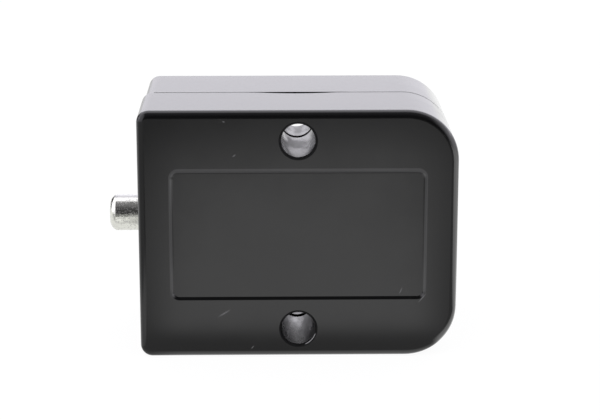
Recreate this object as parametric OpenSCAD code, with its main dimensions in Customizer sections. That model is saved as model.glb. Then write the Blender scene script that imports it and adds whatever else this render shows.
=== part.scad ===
// Cycle counter: two-part moulded housing with a sprung plunger and a seven wheel counting train.
// Rear face at Y = 0, front face at Y = body_d, plunger along X, wheel shaft along Z.

/* [Housing] */
// length of the body along the plunger
body_w = 63.5; // [62.5:0.5:68]
// height of the body across the mounting holes
body_h = 50.5; // [50:0.5:54]
// depth of the body from rear face to front face
body_d = 38; // [37.5:0.5:42]
// corner radius at the end away from the plunger
corner_r = 10.3; // [8:0.1:11]
// corner radius at the plunger end
lead_corner_r = 2.4; // [2.2:0.1:5]
// rounding of the outer edges of both faces
edge_r = 1.5; // [0.8:0.1:1.8]
// side wall of both covers
wall = 2.2; // [2:0.1:2.6]
// thickness of the rear cover floor
floor_t = 2.6; // [2:0.1:3]
// thickness of the front cover face
face_t = 2.2; // [1.9:0.1:2.4]
// how far the front cover stands back from the rear cover at the seam
seam_step = 0.06; // [0.04:0.02:0.3]
// how much farther the front cover stands back at the plunger end
lead_step = 0.5; // [0.1:0.1:0.7]
// how far the front cover sits above the rear cover, on top of that step
front_rise = 0.12; // [0.06:0.02:0.3]
// depth of the dip at the middle of the rear cover's upper seam edge
dip_h = 0.2; // [0.1:0.05:0.4]
// half length of that dip
dip_half = 9; // [6:0.5:12]
// width of the dip towards the rear
dip_w = 1.3; // [0.8:0.1:2]

/* [Seam lip] */
// thickness of the lip on the front cover
lip_t = 0.9; // [0.7:0.05:1]
// height of the lip
lip_h = 1.2; // [0.8:0.1:2]
// clearance round the lip
lip_gap = 0.1; // [0.05:0.05:0.2]

/* [Locating pins] */
// radius of a pin
pin_r = 1.2; // [0.9:0.1:1.4]
// length of a pin past the seam
pin_len = 3.5; // [2:0.5:5]
// wall of the boss round a pin
pin_wall = 1.4; // [1:0.1:1.8]
// room left past the end of a pin
pin_room = 0.5; // [0.2:0.1:1]
// distance of a pin from the corner of the body along the plunger
pin_in_x = 6.6; // [6.2:0.1:8]
// distance of a pin from the corner of the body across the holes
pin_in_z = 7.1; // [6.4:0.1:8]

/* [Mounting holes] */
// distance between the two holes
hole_pitch = 38.6; // [38.6:0.1:39]
// radius of a hole
hole_r = 3.4; // [3:0.1:3.5]
// rounding at the rear mouth of a hole
hole_round = 0.35; // [0.1:0.05:0.5]
// width of the groove left inside a hole at the seam
tube_groove_w = 1.8; // [0.6:0.1:2.2]
// depth of that groove
tube_groove_d = 0.9; // [0.4:0.1:1.1]
// wall of the tube round a hole
tube_wall = 1.8; // [1.4:0.1:1.9]
// radius of the screw head pocket in the front face
head_r = 5.35; // [4.6:0.05:5.4]
// depth of the screw head pocket
head_depth = 8.9; // [6:0.1:9]
// wall of the pocket
head_wall = 1; // [0.8:0.05:1.15]
// material under the pocket
head_floor = 1.6; // [1.2:0.1:3]

/* [Rear panel] */
// length of the sunk panel
panel_w = 50.7; // [44:0.1:53]
// height of the sunk panel
panel_h = 26.5; // [20:0.1:27]
// corner radius of the panel
panel_r = 1.6; // [0.8:0.1:3]
// depth of the panel
panel_sink = 0.35; // [0.2:0.05:0.7]
// width of its sloped edge
panel_slope = 0.6; // [0.3:0.05:0.75]

/* [Window] */
// opening across the digits
window_w = 6.4; // [5:0.1:7]
// opening along the row of digits
window_len = 21.8; // [20:0.1:22]
// ledge that carries the lens
window_ledge = 1.4; // [0.8:0.1:1.5]
// thickness of the lens
lens_t = 1.1; // [0.8:0.1:1.2]
// how far the lens lies below the front face
lens_sink = 0.2; // [0.1:0.05:0.3]
// corner radius of the lens
lens_r = 1.2; // [0.6:0.1:2]
// clearance round the lens
lens_gap = 0.05; // [0.03:0.01:0.15]

/* [Plunger] */
// radius of the barrel
plunger_r = 3.72; // [3.2:0.02:4]
// how far the tip stands out of the body at rest
plunger_reach = 6.9; // [6.8:0.1:9]
// working stroke of the plunger
plunger_travel = 6.6; // [6.4:0.1:6.7]
// length of the rounded tip
tip_len = 1.26; // [0.6:0.02:1.6]
// width of the rounded tip
tip_w = 1.9; // [1.7:0.05:2.4]
// radius of the shoulder that stops the plunger
shoulder_r = 5.2; // [4.8:0.1:5.6]
// thickness of the shoulder
shoulder_t = 1.5; // [1:0.1:2]
// radius of the stem inside the spring
stem_r = 2; // [1.6:0.1:2.2]
// radius of the forked head
head_fork_r = 3.4; // [3:0.1:3.8]
// thickness of each fork wall
fork_wall = 1.3; // [1:0.1:1.6]

/* [Bush and seal] */
// outer radius of the bush
bush_r = 5; // [4.6:0.1:5.4]
// radius of the bush flange
bush_flange_r = 6.2; // [5.8:0.1:6.4]
// thickness of the bush flange
bush_flange_t = 1.5; // [1:0.1:2]
// distance from the inner bush end to the flange
bush_flange_in = 3.4; // [2:0.1:4]
// length of the seal
seal_len = 1.9; // [1.2:0.1:2.2]
// clearance of the wall hole round the plunger
wall_hole_gap = 0.35; // [0.2:0.05:0.6]
// half width of the saddle that holds the bush
saddle_half = 7.6; // [7.2:0.1:8.5]
// height of the front half of the saddle
saddle_h = 8.2; // [7.5:0.1:9]
// thickness of the two ribs that carry it
saddle_rib_t = 1.6; // [1:0.1:2]
// radius of the groove inside the seal
seal_groove_r = 0.35; // [0.2:0.05:0.5]

/* [Return spring] */
// wire diameter
wire_d = 0.6; // [0.4:0.05:0.65]
// mean coil radius
coil_r = 2.9; // [2.8:0.05:3.2]
// turns of the spring
coil_turns = 6.5; // [5:0.5:6.5]
// length left for the spring at full stroke
spring_closed = 4.4; // [4.3:0.1:5]
// thickness of the rib that the spring bears on
seat_rib_t = 1.2; // [1:0.1:1.6]
// half width of that rib
seat_rib_half = 6; // [5:0.1:8]
// height of the rib past the plunger axis
seat_rib_up = 4; // [3.6:0.1:4.1]

/* [Counting train] */
// radius of a number wheel
wheel_r = 5.55; // [5.2:0.05:5.6]
// distance from wheel to wheel
wheel_pitch = 3; // [2.9:0.02:3]
// width of the numbered rim
rim_w = 1.75; // [1.6:0.05:1.8]
// width of the gear on a wheel
gear_w = 0.55; // [0.4:0.05:0.6]
// width of the transfer disc on a wheel
disc_w = 0.5; // [0.3:0.05:0.55]
// radius of the wheel shaft
shaft_r = 0.9; // [0.7:0.05:1]
// gear module
gear_m = 0.45; // [0.45:0.005:0.47]
// radius of the pinion shaft
pinion_shaft_r = 0.5; // [0.4:0.05:0.6]
// thickness of a thrust washer
washer_t = 0.45; // [0.3:0.05:0.45]
// width of its ring
washer_w = 0.9; // [0.6:0.1:1.2]
// clearance between a washer and the wheel beside it
washer_gap = 0.02; // [0.01:0.01:0.04]
// height of the two transfer teeth past their disc
transfer_h = 0.5; // [0.3:0.05:0.6]
// width of a transfer tooth
transfer_w = 0.6; // [0.4:0.05:0.7]
// clearance between a transfer disc and the pinion tips
transfer_gap = 0.1; // [0.06:0.01:0.2]
// clearance of a pinion between two rims
pinion_gap = 0.07; // [0.04:0.01:0.1]
// radial running clearance of all bores
run_gap = 0.05; // [0.02:0.01:0.08]
// clearance between faces that pass each other
side_gap = 0.2; // [0.15:0.05:0.25]

/* [Rocker and pawls] */
// thickness of a rocker arm
arm_t = 0.7; // [0.5:0.1:0.8]
// width of a rocker arm
arm_w = 2.6; // [2:0.1:3]
// radius of the rocker crossbar
bar_r = 0.9; // [0.7:0.05:1]
// how much wider than the arm its hub is
arm_hub = 0.7; // [0.4:0.1:0.8]
// radius of the hole halfway along an arm
arm_hole_r = 0.7; // [0.4:0.1:0.8]
// room between the wheels and a rocker arm
arm_room = 0.5; // [0.47:0.01:0.6]
// radius of the ratchet on the units wheel
ratchet_r = 4.6; // [4.2:0.1:4.8]
// depth of the ratchet teeth
ratchet_depth = 0.9; // [0.6:0.1:1.1]
// how far the pawls ride above the ratchet
pawl_lift = 0.1; // [0.06:0.02:0.2]
// thickness of a pawl
pawl_t = 0.6; // [0.4:0.05:0.6]
// radius of the drive pawl hub
drive_hub_r = 1.5; // [1.4:0.05:1.6]
// radius of the check pawl hub
check_hub_r = 1.4; // [1.3:0.05:1.5]
// depth of a pawl behind its line to the tip
pawl_back = 1; // [0.8:0.05:1]
// depth of the pawl tip
pawl_tip = 0.45; // [0.3:0.05:0.6]
// length of the check pawl
check_len = 6; // [5.6:0.1:6.4]
// thickness of the pawl springs
leaf_t = 0.25; // [0.15:0.05:0.3]
// width of the spring's hub
leaf_hub_w = 0.8; // [0.5:0.1:0.8]
// how far that hub lies past the pawl
leaf_drop = 0.9; // [0.9:0.05:1]
// wall of the spring's hub
leaf_hub_wall = 0.5; // [0.3:0.05:0.6]

/* [Mechanism frame] */
// thickness of a side plate
plate_t = 0.8; // [0.6:0.05:0.85]
// plate edge left of the wheel shaft
plate_left = 8.6; // [8.2:0.1:9.5]
// plate edge right of the wheel shaft
plate_right = 9.6; // [9.2:0.1:11]
// corner radius of a plate
plate_corner = 1.5; // [0.8:0.1:2]
// radius of the large hole in a plate
plate_hole_r = 2.4; // [1.5:0.1:2.6]
// radius of the small hole beside it
small_hole_r = 1; // [0.6:0.1:1.2]
// height of the plate foot above the rear face
plate_foot = 13.5; // [12:0.1:13.6]
// depth of the plate in its slot
slot_depth = 2; // [1:0.1:2.2]
// wall beside the slot
slot_wall = 0.85; // [0.6:0.05:0.9]
// how far the slot's block reaches past the plate
slot_over = 1; // [0.6:0.1:1.2]
// radius of the pawl shaft and of the tie bar
tie_r = 0.8; // [0.6:0.05:0.9]
// gap between the plates and the front cover face
plate_front = 1.2; // [1:0.1:1.5]
// thickness of the ribs that stop the plates
stop_rib_t = 1.2; // [0.8:0.1:1.4]

/* [Hidden] */
$fn = 48;
eps = 0.01;
least_r = 0.4;
x0 = -body_w / 2;
x1 = body_w / 2;
zh = body_h / 2;
seam_y = body_d / 2;
axis_y = seam_y;
hole_z = hole_pitch / 2;
inner_front = body_d - face_t;

// swing of the rocker follows from ten digits on a wheel
digits = 10;
step = 360 / digits;
swing = step / 2;
rocker_r = plunger_travel / (2 * sin(swing));
shaft_y = axis_y + rocker_r * (1 + cos(swing)) / 2;

// stations along the plunger, worked back from the rocker crossbar at rest
bar_x = -plunger_travel / 2;
fork_half = bar_r + run_gap + fork_wall;
rib_x1 = bar_x - fork_half - side_gap;
rib_x0 = rib_x1 - seat_rib_t;
shoulder_x0 = rib_x0 - spring_closed - plunger_travel - shoulder_t;
bush_x1 = shoulder_x0;
bush_x0 = x0 + wall + seal_len + 2 * run_gap;
flange_x1 = bush_x1 - bush_flange_in;
flange_x0 = flange_x1 - bush_flange_t;
saddle_x1 = bush_x1 - 2 * run_gap;

// stations across the counting train
wheel_count = 7;
wheel_gap = wheel_pitch - rim_w - gear_w - disc_w;
stack_half = wheel_count * wheel_pitch / 2;
arm_z0 = stack_half + arm_room;
arm_z1 = arm_z0 + arm_t;
plate_z0 = arm_z1 + side_gap;
plate_z1 = plate_z0 + plate_t;
pawl_z0 = stack_half - gear_w + 0.08;

gear_teeth = 20;
pinion_teeth = 8;
gear_pitch_r = gear_m * gear_teeth / 2;
pinion_pitch_r = gear_m * pinion_teeth / 2;
pinion_x = -(gear_pitch_r + pinion_pitch_r);
tooth_add = 0.9 * gear_m;
tooth_ded = 1.1 * gear_m;
pinion_out_r = pinion_pitch_r + tooth_add;
disc_tip_r = -pinion_x - pinion_out_r - transfer_gap;

// the ratchet faces line up with the drive pawl at rest
drive_tip_r = ratchet_r + pawl_lift;
drive_half_angle = acos(drive_tip_r / rocker_r);
drive_len = rocker_r * sin(drive_half_angle);
rest_angle = -90 - swing;
drive_tip_angle = rest_angle + drive_half_angle;
face_angle = drive_tip_angle + 0.5;
check_tip_angle = drive_tip_angle + 3 * step;
check_x = drive_tip_r * cos(check_tip_angle) + check_len * sin(check_tip_angle);
check_y = drive_tip_r * sin(check_tip_angle) - check_len * cos(check_tip_angle);
tie_x = plate_right - tie_r - slot_wall - run_gap;
tie_y = plate_foot + slot_depth + tie_r + 0.6;

black = [0.1, 0.1, 0.11];
steel = [0.78, 0.79, 0.8];
brass = [0.8, 0.68, 0.38];
wheel_black = [0.16, 0.16, 0.17];
rubber = [0.05, 0.05, 0.05];
clear = [0.8, 0.88, 0.92, 0.5];

// plan of a cover: local x along the plunger, local y up, height grows into the body from the rear
module from_rear() {
    rotate([90, 0, 0]) mirror([0, 0, 1]) children();
}

// the same seen from the front face
module from_front() {
    translate([0, body_d, 0]) rotate([90, 0, 0]) children();
}

// turns an object drawn along z so that it lies along the plunger axis
module along_plunger() {
    translate([0, axis_y, 0]) rotate([0, 90, 0]) children();
}

// section of an outer edge: a quarter round, or a straight slope for the sunk panel
module edge_section(e, h, sloped) {
    if (sloped) {
        polygon([[0, 0], [e, 0], [0, h]]);
    } else {
        intersection() {
            translate([0, e]) circle(e);
            square(e);
        }
    }
}

// one corner of a slab, r the plan radius, e the edge width, h the slab height
module slab_corner(r, e, h, sloped) {
    rotate_extrude(angle = 90) union() {
        square([r - e, h]);
        translate([r - e, 0]) edge_section(e, h, sloped);
    }
}

// straight edge of a slab along x, its outer side towards -y
module slab_edge(len, e, h, sloped) {
    rotate([0, 90, 0]) rotate([0, 0, 90]) linear_extrude(len) mirror([1, 0]) edge_section(e, h, sloped);
}

// rectangular slab of height h whose sides are rounded over e, or slope in by e
module edged_slab(xa, xb, za, zb, ra, rb, e, h, sloped = false) {
    linear_extrude(h) polygon([
        [xa + e, za + ra], [xa + ra, za + ra], [xa + ra, za + e],
        [xb - rb, za + e], [xb - rb, za + rb], [xb - e, za + rb],
        [xb - e, zb - rb], [xb - rb, zb - rb], [xb - rb, zb - e],
        [xa + ra, zb - e], [xa + ra, zb - ra], [xa + e, zb - ra]
    ]);
    translate([xb - rb, zb - rb, 0]) slab_corner(rb, e, h, sloped);
    translate([xa + ra, zb - ra, 0]) rotate([0, 0, 90]) slab_corner(ra, e, h, sloped);
    translate([xa + ra, za + ra, 0]) rotate([0, 0, 180]) slab_corner(ra, e, h, sloped);
    translate([xb - rb, za + rb, 0]) rotate([0, 0, 270]) slab_corner(rb, e, h, sloped);
    translate([xa + ra, za + e, 0]) slab_edge(xb - xa - ra - rb, e, h, sloped);
    translate([xb - rb, zb - e, 0]) rotate([0, 0, 180]) slab_edge(xb - xa - ra - rb, e, h, sloped);
    translate([xb - e, za + rb, 0]) rotate([0, 0, 90]) slab_edge(zb - za - 2 * rb, e, h, sloped);
    translate([xa + e, zb - ra, 0]) rotate([0, 0, 270]) slab_edge(zb - za - 2 * ra, e, h, sloped);
}

// plan outline of the body, inset by g and by a further lead at the plunger end
module outline(g, lead = 0) {
    rb = corner_r - g;
    ra = max(lead_corner_r - g, least_r);
    xa = x0 + g + lead;
    translate([xa + ra, -zh + g]) square([x1 - g - rb - xa - ra, body_h - 2 * g]);
    translate([xa, -zh + g + ra]) square([ra, body_h - 2 * g - 2 * ra]);
    translate([x1 - g - rb, -zh + g + rb]) square([rb, body_h - 2 * g - 2 * rb]);
    for (s = [-1, 1]) {
        translate([xa + ra, s * (zh - g - ra)]) circle(ra);
        translate([x1 - g - rb, s * (zh - g - rb)]) circle(rb);
    }
}

// outer form of one cover of depth h, inset like its outline
module cover_form(g, h, lead = 0) {
    edged_slab(x0 + g + lead, x1 - g, -zh + g, zh - g, lead_corner_r - g, corner_r - g, edge_r, edge_r);
    translate([0, 0, edge_r]) linear_extrude(h - edge_r) outline(g, lead);
}

// both mounting hole places
module at_holes() {
    for (s = [-1, 1]) translate([0, s * hole_z, 0]) children();
}

// the four locating pin places
module at_pins() {
    for (s = [-1, 1], t = [x0 + pin_in_x, x1 - pin_in_x]) translate([t, s * (zh - pin_in_z), 0]) children();
}

// rectangle with round corners centred on the origin
module soft_rect(w, h, r) {
    square([w - 2 * r, h], center = true);
    square([w, h - 2 * r], center = true);
    for (sx = [-1, 1], sy = [-1, 1]) translate([sx * (w / 2 - r), sy * (h / 2 - r)]) circle(r);
}

// cut that rounds the rear mouth of a hole
module mouth_round() {
    rotate_extrude() difference() {
        square([hole_r + hole_round, hole_round]);
        translate([hole_r + hole_round, hole_round]) circle(hole_round);
    }
}

// shallow cut that lowers the middle of the upper seam edge
module seam_dip() {
    dip_r = (dip_half * dip_half + dip_h * dip_h) / (2 * dip_h);
    translate([0, zh - dip_h, seam_y]) rotate([atan(dip_h / dip_w), 0, 0]) translate([0, dip_r, -2 * dip_w])
        cylinder(h = 4 * dip_w, r = dip_r, $fn = 720);
}

// room for the bush, its flange, the seal and the plunger in the wall
module bush_room() {
    along_plunger() {
        translate([0, 0, x0 - 1]) cylinder(h = wall + 1 + eps, r = plunger_r + wall_hole_gap);
        translate([0, 0, x0 + wall]) cylinder(h = saddle_x1 - x0 - wall + 1, r = bush_r + run_gap);
        translate([0, 0, flange_x0 - run_gap])
            cylinder(h = bush_flange_t + 2 * run_gap, r = bush_flange_r + run_gap);
    }
}

// seat block of one side plate on the rear floor
module plate_seat(s) {
    z_in = plate_z0 - run_gap - slot_wall;
    z_out = plate_z1 + run_gap + slot_wall;
    low = s > 0 ? z_in : -z_out;
    slot = s > 0 ? plate_z0 - run_gap : -plate_z1 - run_gap;
    difference() {
        translate([-plate_left - slot_over, low, floor_t - eps])
            cube([plate_left + plate_right + 2 * slot_over, z_out - z_in, plate_foot + slot_depth - floor_t + eps]);
        translate([-plate_left - run_gap, slot, plate_foot])
            cube([plate_left + plate_right + 2 * run_gap, plate_t + 2 * run_gap, slot_depth + 1]);
    }
}

module rear_cover() {
    color(black) difference() {
        from_rear() difference() {
            union() {
                difference() {
                    cover_form(0, seam_y);
                    translate([0, 0, floor_t]) linear_extrude(seam_y) outline(wall);
                    translate([0, 0, seam_y - lip_h - lip_gap])
                        linear_extrude(lip_h + 1) outline(wall - lip_t - lip_gap);
                    seam_dip();
                }
                at_holes() translate([0, 0, floor_t - eps])
                    cylinder(h = seam_y - floor_t + eps, r = hole_r + tube_wall);
                at_pins() translate([0, 0, floor_t - eps])
                    cylinder(h = seam_y - floor_t + eps, r = pin_r + pin_wall);
                plate_seat(1);
                plate_seat(-1);
                translate([x0 + wall - lip_t - lip_gap, -saddle_half, floor_t - eps])
                    cube([saddle_x1 - x0 - wall + lip_t + lip_gap, 2 * saddle_half, seam_y - floor_t + eps]);
                translate([rib_x0, -seat_rib_half, floor_t - eps])
                    cube([seat_rib_t, 2 * seat_rib_half, axis_y + seat_rib_up - floor_t + eps]);
            }
            edged_slab(-panel_w / 2, panel_w / 2, -panel_h / 2, panel_h / 2,
                panel_r, panel_r, panel_slope, panel_sink, true);
            at_holes() {
                translate([0, 0, -1]) cylinder(h = seam_y + 2, r = hole_r);
                mouth_round();
                translate([0, 0, seam_y - tube_groove_w / 2])
                    cylinder(h = tube_groove_w, r = hole_r + tube_groove_d);
            }
            at_pins() translate([0, 0, seam_y - pin_len - pin_room])
                cylinder(h = pin_len + pin_room + 1, r = pin_r + run_gap);
        }
        bush_room();
        translate([rib_x0 - 1, axis_y, 0]) rotate([0, 90, 0])
            cylinder(h = seat_rib_t + 2, r = stem_r + side_gap);
        translate([rib_x0 - 1, axis_y, -stem_r - side_gap])
            cube([seat_rib_t + 2, seat_rib_up + 1, 2 * (stem_r + side_gap)]);
    }
}

module front_cover() {
    depth = body_d - seam_y;
    lens_w = window_w + 2 * window_ledge;
    lens_len = window_len + 2 * window_ledge;
    color(black) difference() {
        from_front() difference() {
            union() {
                difference() {
                    translate([0, front_rise, 0]) cover_form(seam_step, depth, lead_step);
                    translate([0, 0, face_t]) linear_extrude(depth) outline(wall);
                }
                difference() {
                    translate([0, 0, depth - 1]) linear_extrude(lip_h + 1) outline(wall - lip_t);
                    translate([0, 0, depth - 2]) linear_extrude(lip_h + 3) outline(wall);
                    translate([x0 - 1, -saddle_half - lip_gap, depth])
                        cube([wall + 2, 2 * (saddle_half + lip_gap), lip_h + 1]);
                    at_holes() translate([0, 0, depth])
                        cylinder(h = lip_h + 1, r = hole_r + tube_wall + lip_gap);
                }
                at_holes() translate([0, 0, face_t - eps])
                    cylinder(h = depth - face_t + eps, r = hole_r + tube_wall);
                intersection() {
                    at_holes() translate([0, 0, face_t - eps])
                        cylinder(h = head_depth + head_floor - face_t + eps, r = head_r + head_wall);
                    translate([-body_w / 2, -zh + 1, 0]) cube([body_w, body_h - 2, depth]);
                }
                at_pins() {
                    translate([0, 0, face_t - eps])
                        cylinder(h = depth - face_t + eps, r = pin_r + pin_wall);
                    translate([0, 0, face_t]) cylinder(h = depth - face_t + pin_len, r = pin_r);
                }
                for (s = [-1, 1])
                    translate([slot_over - plate_left, (s * (plate_z0 + plate_z1) - stop_rib_t) / 2, face_t - eps])
                        cube([plate_left + plate_right - 2 * slot_over, stop_rib_t, plate_front + eps]);
                translate([x0 + wall - eps, -saddle_half, depth - saddle_h])
                    cube([saddle_x1 - x0 - wall + eps, 2 * saddle_half, saddle_h]);
                for (z = [-saddle_half, saddle_half - saddle_rib_t]) translate([x0 + wall - eps, z, face_t - eps])
                    cube([saddle_x1 - x0 - wall + eps, saddle_rib_t, depth - saddle_h - face_t + 2 * eps]);
            }
            translate([0, 0, -1]) linear_extrude(lens_sink + lens_t + 1 + eps) soft_rect(lens_w, lens_len, lens_r);
            linear_extrude(face_t + 1) soft_rect(window_w, window_len, lens_r);
            at_holes() {
                translate([0, 0, -1]) cylinder(h = depth + 2, r = hole_r);
                translate([0, 0, -1]) cylinder(h = head_depth + 1, r = head_r);
                translate([0, 0, depth - tube_groove_w / 2]) cylinder(h = tube_groove_w, r = hole_r + tube_groove_d);
            }
        }
        bush_room();
    }
}

module window_lens() {
    w = window_w + 2 * window_ledge - 2 * lens_gap;
    l = window_len + 2 * window_ledge - 2 * lens_gap;
    color(clear) from_front() translate([0, 0, lens_sink]) linear_extrude(lens_t) soft_rect(w, l, lens_r);
}

// half section of the plunger barrel with its rounded tip, height along the axis
module barrel_section() {
    tip_x = x0 - plunger_reach;
    tip_arc = (tip_w * tip_w + tip_len * tip_len) / (2 * tip_len);
    translate([0, tip_x]) square([plunger_r - tip_w, tip_len]);
    intersection() {
        translate([plunger_r - tip_w, tip_x + tip_arc]) circle(tip_arc, $fn = 72);
        translate([plunger_r - tip_w, tip_x]) square([tip_w, tip_len]);
    }
    translate([0, tip_x + tip_len]) square([plunger_r, shoulder_x0 - tip_x - tip_len]);
}

module plunger() {
    slot_y = axis_y - rocker_r * (1 - cos(swing)) / 2 - bar_r - side_gap;
    color(steel) difference() {
        union() {
            along_plunger() rotate_extrude() barrel_section();
            along_plunger() translate([0, 0, shoulder_x0]) cylinder(h = shoulder_t, r = shoulder_r);
            along_plunger() translate([0, 0, shoulder_x0 + shoulder_t - eps])
                cylinder(h = bar_x - shoulder_x0 - shoulder_t, r = stem_r);
            along_plunger() translate([0, 0, bar_x - fork_half]) cylinder(h = 2 * fork_half, r = head_fork_r);
        }
        translate([bar_x - bar_r - run_gap, slot_y, -head_fork_r - 1])
            cube([2 * (bar_r + run_gap), 2 * head_fork_r, 2 * head_fork_r + 2]);
    }
}

module plunger_bush() {
    color(brass) along_plunger() difference() {
        union() {
            translate([0, 0, bush_x0]) cylinder(h = bush_x1 - bush_x0, r = bush_r);
            translate([0, 0, flange_x0]) cylinder(h = bush_flange_t, r = bush_flange_r);
        }
        translate([0, 0, bush_x0 - 1]) cylinder(h = bush_x1 - bush_x0 + 2, r = plunger_r + run_gap);
    }
}

module plunger_seal() {
    color(rubber) along_plunger() translate([0, 0, x0 + wall + run_gap]) difference() {
        cylinder(h = seal_len, r = bush_r);
        translate([0, 0, -1]) cylinder(h = seal_len + 2, r = plunger_r + run_gap / 2);
        translate([0, 0, seal_len / 2]) rotate_extrude() translate([plunger_r, 0]) circle(seal_groove_r, $fn = 24);
    }
}

// helical return spring with close wound ends, swept as a ring of points per step
module return_spring() {
    sides = 8;
    steps = 16 * coil_turns;
    wr = wire_d / 2;
    z_a = shoulder_x0 + shoulder_t + wr;
    z_b = rib_x0 - wr;
    rise_end = wire_d;
    function lift(t) = t < 1 ? rise_end * t
        : t > coil_turns - 1 ? (z_b - z_a) - rise_end * (coil_turns - t)
        : rise_end + (t - 1) / (coil_turns - 2) * (z_b - z_a - 2 * rise_end);
    pts = [for (i = [0 : steps], j = [0 : sides - 1])
        let (t = i / 16, a = 360 * t, b = 360 * j / sides, rr = coil_r + wr * cos(b))
        [rr * cos(a), rr * sin(a), z_a + lift(t) + wr * sin(b)]];
    skin = [for (i = [0 : steps - 1], j = [0 : sides - 1])
        let (k = (j + 1) % sides)
        [i * sides + j, (i + 1) * sides + j, (i + 1) * sides + k, i * sides + k]];
    cap_a = [for (j = [0 : sides - 1]) j];
    cap_b = [for (j = [sides - 1 : -1 : 0]) steps * sides + j];
    color(steel) along_plunger() polyhedron(points = pts, faces = concat([cap_a, cap_b], skin), convexity = 10);
}

// side plate with its shaft holes, drawn between two heights across the train
module frame_plate(z_low) {
    top_y = inner_front - plate_front;
    w = plate_left + plate_right;
    h = top_y - plate_foot;
    color(steel) translate([0, 0, z_low]) linear_extrude(plate_t) difference() {
        translate([(plate_right - plate_left) / 2, plate_foot + h / 2]) soft_rect(w, h, plate_corner);
        translate([0, shaft_y]) circle(shaft_r + run_gap);
        translate([pinion_x, shaft_y]) circle(pinion_shaft_r + run_gap);
        translate([check_x, shaft_y + check_y]) circle(tie_r + run_gap);
        translate([tie_x, tie_y]) circle(tie_r + run_gap);
        translate([0, axis_y + small_hole_r]) circle(plate_hole_r);
        translate([plate_hole_r - plate_left, axis_y + 2 * small_hole_r]) circle(small_hole_r);
    }
}

module frame_plate_upper() {
    frame_plate(plate_z0);
}

module frame_plate_lower() {
    frame_plate(-plate_z1);
}

// plain rod through both plates
module rod(x, y, r) {
    color(steel) translate([x, y, -plate_z1]) cylinder(h = 2 * plate_z1, r = r);
}

module wheel_shaft() {
    rod(0, shaft_y, shaft_r);
}

module pinion_shaft() {
    rod(pinion_x, shaft_y, pinion_shaft_r);
}

module pawl_shaft() {
    rod(check_x, shaft_y + check_y, tie_r);
}

module tie_bar() {
    rod(tie_x, tie_y, tie_r);
}

module thrust_washers() {
    low_end = -stack_half + wheel_gap;
    color(brass) for (z = [stack_half + washer_gap, low_end - washer_gap - washer_t]) translate([0, shaft_y, z])
        difference() {
            cylinder(h = washer_t, r = shaft_r + washer_w);
            translate([0, 0, -1]) cylinder(h = washer_t + 2, r = shaft_r + run_gap);
        }
}

// toothed outline with straight flanks: n teeth, root and tip radius, half angles at root and tip
module toothed(n, root, tip, half_root, half_tip) {
    polygon([for (k = [0 : n - 1], p = [[root, -half_root], [tip, -half_tip], [tip, half_tip], [root, half_root]])
        [p[0] * cos(360 / n * k + p[1]), p[0] * sin(360 / n * k + p[1])]]);
}

// saw toothed outline, the steep faces at a0 and on from there
module saw(n, root, tip, a0) {
    polygon([for (k = [0 : n - 1], p = [[root, 0], [tip, 0], [(2 * tip + root) / 3, 0.33], [(tip + 2 * root) / 3, 0.66]])
        [p[0] * cos(a0 + 360 / n * (k + p[1])), p[0] * sin(a0 + 360 / n * (k + p[1]))]]);
}

// number wheel i: rim, gear or ratchet above it, transfer disc below it
module number_wheel(i) {
    top = stack_half - (i - 1) * wheel_pitch;
    color(wheel_black) translate([0, shaft_y, 0]) difference() {
        union() {
            translate([0, 0, top - gear_w - eps]) linear_extrude(gear_w + eps) {
                if (i == 1) {
                    saw(digits, ratchet_r - ratchet_depth, ratchet_r, face_angle);
                } else {
                    toothed(gear_teeth, gear_pitch_r - tooth_ded, gear_pitch_r + tooth_add, 5.6, 2.1);
                }
            }
            translate([0, 0, top - gear_w - rim_w]) cylinder(h = rim_w, r = wheel_r, $fn = 60);
            if (i < wheel_count) {
                translate([0, 0, top - gear_w - rim_w - disc_w])
                    linear_extrude(disc_w + eps) union() {
                        circle(disc_tip_r - transfer_h);
                        for (s = [-1, 1]) rotate(180 + s * step / 4) translate([0, -transfer_w / 2])
                            square([disc_tip_r, transfer_w]);
                    }
            }
        }
        translate([0, 0, -stack_half - 1]) cylinder(h = 2 * stack_half + 2, r = shaft_r + run_gap, $fn = 32);
    }
}

module number_wheel_1() { number_wheel(1); }
module number_wheel_2() { number_wheel(2); }
module number_wheel_3() { number_wheel(3); }
module number_wheel_4() { number_wheel(4); }
module number_wheel_5() { number_wheel(5); }
module number_wheel_6() { number_wheel(6); }
module number_wheel_7() { number_wheel(7); }

// transfer pinion i sits between the rims of wheels i and i + 1
module transfer_pinion(i) {
    rim_low = stack_half - (i - 1) * wheel_pitch - gear_w - rim_w;
    rim_high = stack_half - i * wheel_pitch - gear_w;
    color(brass) translate([pinion_x, shaft_y, rim_high + pinion_gap])
        linear_extrude(rim_low - rim_high - 2 * pinion_gap) difference() {
            rotate(180 / pinion_teeth)
                toothed(pinion_teeth, pinion_pitch_r - tooth_ded, pinion_out_r, 15, 4.5);
            circle(pinion_shaft_r + run_gap, $fn = 24);
        }
}

module transfer_pinion_1() { transfer_pinion(1); }
module transfer_pinion_2() { transfer_pinion(2); }
module transfer_pinion_3() { transfer_pinion(3); }
module transfer_pinion_4() { transfer_pinion(4); }
module transfer_pinion_5() { transfer_pinion(5); }
module transfer_pinion_6() { transfer_pinion(6); }

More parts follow.
